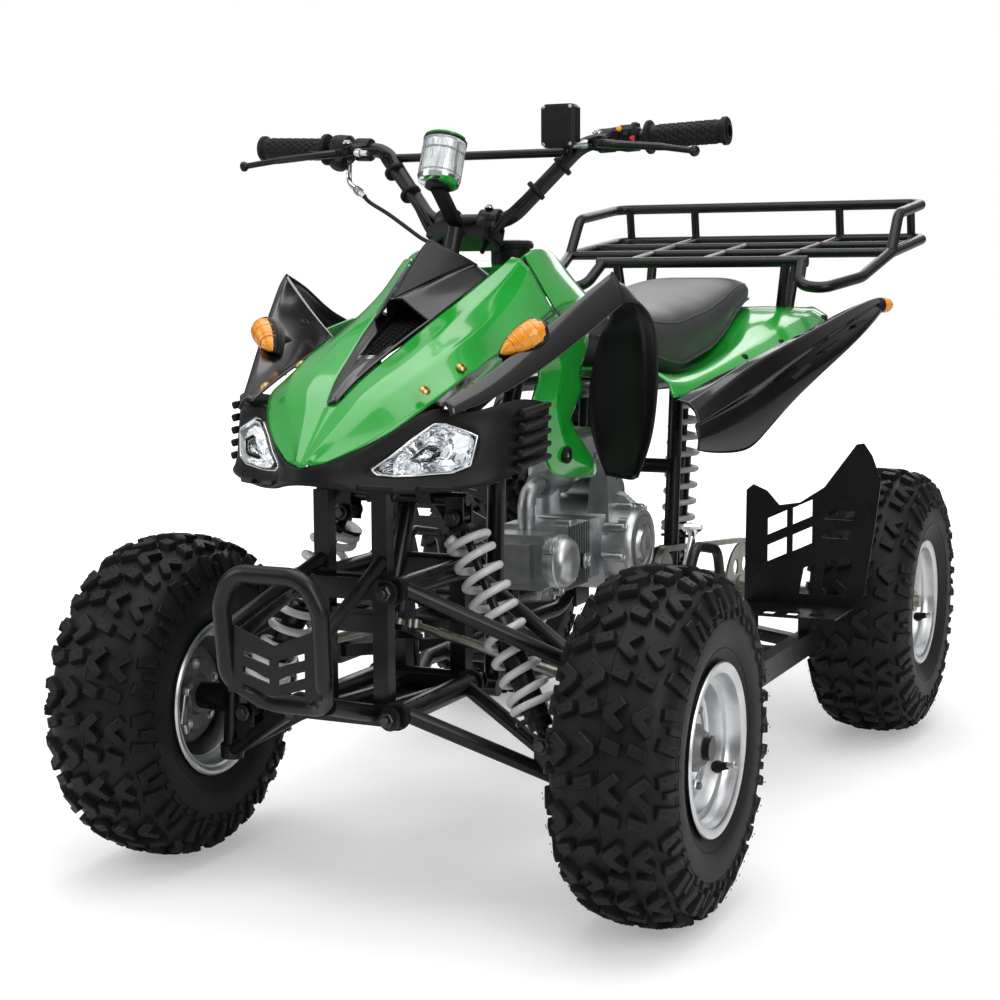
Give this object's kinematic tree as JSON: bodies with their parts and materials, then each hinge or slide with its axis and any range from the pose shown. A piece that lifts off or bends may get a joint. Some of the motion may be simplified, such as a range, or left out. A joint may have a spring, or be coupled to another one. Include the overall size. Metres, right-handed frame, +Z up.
{
  "type": "quad bike",
  "caption": "Four-wheeled off-road quad bike with knobbly tyres, long-travel front arms, moulded body panels, saddle, foot guards and a tubular rear rack.",
  "frame": {"origin": "on the ground below the middle of the whole length", "axes": "+Z up, -Y towards the front of the vehicle, +X towards the vehicle's left side"},
  "size_m": [0.962, 2.039, 1.078],
  "materials": {
    "tyre": "moulded rubber with a dull sheen",
    "rim_steel": "silver pressed steel",
    "cast": "cast and machined",
    "black_steel": "black powder coat",
    "rod_steel": "plated steel",
    "rubber": "ribbed rubber",
    "black_plastic": "fine grained",
    "gloss_black": "gloss moulded",
    "green_plastic": "gloss moulded",
    "clear_plastic": "clear case with silvery inside",
    "spring_white": "light painted coil",
    "engine_alloy": "cast and bead blasted",
    "lamp_glass": "clear lens over a faceted reflector",
    "seat_cover": "grained covering",
    "amber": "amber lens",
    "red_lens": "red lens"
  },
  "bodies": {
    "chassis": {"frame": "black_steel", "lower_arms": "black_steel", "upper_arms": "black_steel", "dampers": "black_steel", "springs": "spring_white", "front_bumper": "black_steel", "swing_arm": "black_steel", "chain": "rod_steel", "crankcase": "engine_alloy", "cylinder_head": "engine_alloy", "carburettor": "engine_alloy", "exhaust": "black_steel", "hood": "green_plastic", "hood_insert": "gloss_black", "tank_cover": "green_plastic", "tank_cap": "black_plastic", "reverse_lever": "rim_steel", "lamp_mask": "black_plastic", "headlamps": "lamp_glass", "front_fender_left": "gloss_black", "front_fender_right": "gloss_black", "side_shrouds": "green_plastic", "seat": "seat_cover", "rear_fender": "green_plastic", "rear_wings": "gloss_black", "turn_signals": "amber", "tail_lamp": "red_lens", "rear_rack": "black_steel", "foot_guards": "black_steel", "side_rails": "black_steel", "gear_pedal": "black_steel", "brake_pedal": "black_steel"},
    "steering": {"steering_stem": "black_steel", "handlebar": "black_steel", "grips": "rubber", "hand_controls": "black_plastic", "gauge": "clear_plastic", "gauge_stand": "black_plastic", "control_box": "black_plastic"},
    "left_knuckle": {"left_knuckle": "black_steel"},
    "right_knuckle": {"right_knuckle": "black_steel"},
    "left_tie_rod": {"left_tie_rod": "rod_steel"},
    "right_tie_rod": {"right_tie_rod": "rod_steel"},
    "front_left_wheel": {"front_left_tyre": "tyre", "front_left_rim": "rim_steel", "front_left_hub": "cast"},
    "front_right_wheel": {"front_right_tyre": "tyre", "front_right_rim": "rim_steel", "front_right_hub": "cast"},
    "rear_wheels": {"rear_axle": "rod_steel", "rear_rims": "rim_steel", "rear_left_tyre": "tyre", "rear_right_tyre": "tyre", "sprocket": "rod_steel", "brake_disc": "rod_steel"}
  },
  "joints": [
    {"name": "steering", "type": "hinge", "parent": "chassis", "child": "steering", "pos_m": [0, -0.706, 0.385], "axis": [0, 0.3745, 0.9272], "range_deg": [-35, 35]},
    {"name": "left_kingpin", "type": "hinge", "parent": "chassis", "child": "left_knuckle", "pos_m": [0.285, -0.661, 0.158], "axis": [-0.0548, 0, 0.9985], "range_deg": [-30, 30]},
    {"name": "right_kingpin", "type": "hinge", "parent": "chassis", "child": "right_knuckle", "pos_m": [-0.285, -0.661, 0.158], "axis": [0.0548, 0, 0.9985], "range_deg": [-30, 30]},
    {"name": "left_tie_rod_pin", "type": "hinge", "parent": "steering", "child": "left_tie_rod", "pos_m": [0.013, -0.65407, 0.36403], "axis": [-0.0523, 0.3646, 0.9297], "range_deg": [-37, 37]},
    {"name": "right_tie_rod_pin", "type": "hinge", "parent": "steering", "child": "right_tie_rod", "pos_m": [-0.013, -0.65407, 0.36403], "axis": [0.0523, 0.3646, 0.9297], "range_deg": [-37, 37]},
    {"name": "front_left_spin", "type": "hinge", "parent": "left_knuckle", "child": "front_left_wheel", "pos_m": [0.3775, -0.661, 0.235], "axis": [1, 0, 0], "continuous": true},
    {"name": "front_right_spin", "type": "hinge", "parent": "right_knuckle", "child": "front_right_wheel", "pos_m": [-0.3775, -0.661, 0.235], "axis": [1, 0, 0], "continuous": true},
    {"name": "rear_axle_spin", "type": "hinge", "parent": "chassis", "child": "rear_wheels", "pos_m": [0, 0.489, 0.243], "axis": [1, 0, 0], "continuous": true}
  ],
  "couplings": [
    {"joint": "left_kingpin", "follows": "steering", "ratio": 0.81288},
    {"joint": "right_kingpin", "follows": "steering", "ratio": 0.81288},
    {"joint": "left_tie_rod_pin", "follows": "steering", "ratio": -1.0071},
    {"joint": "right_tie_rod_pin", "follows": "steering", "ratio": -1.0071}
  ]
}
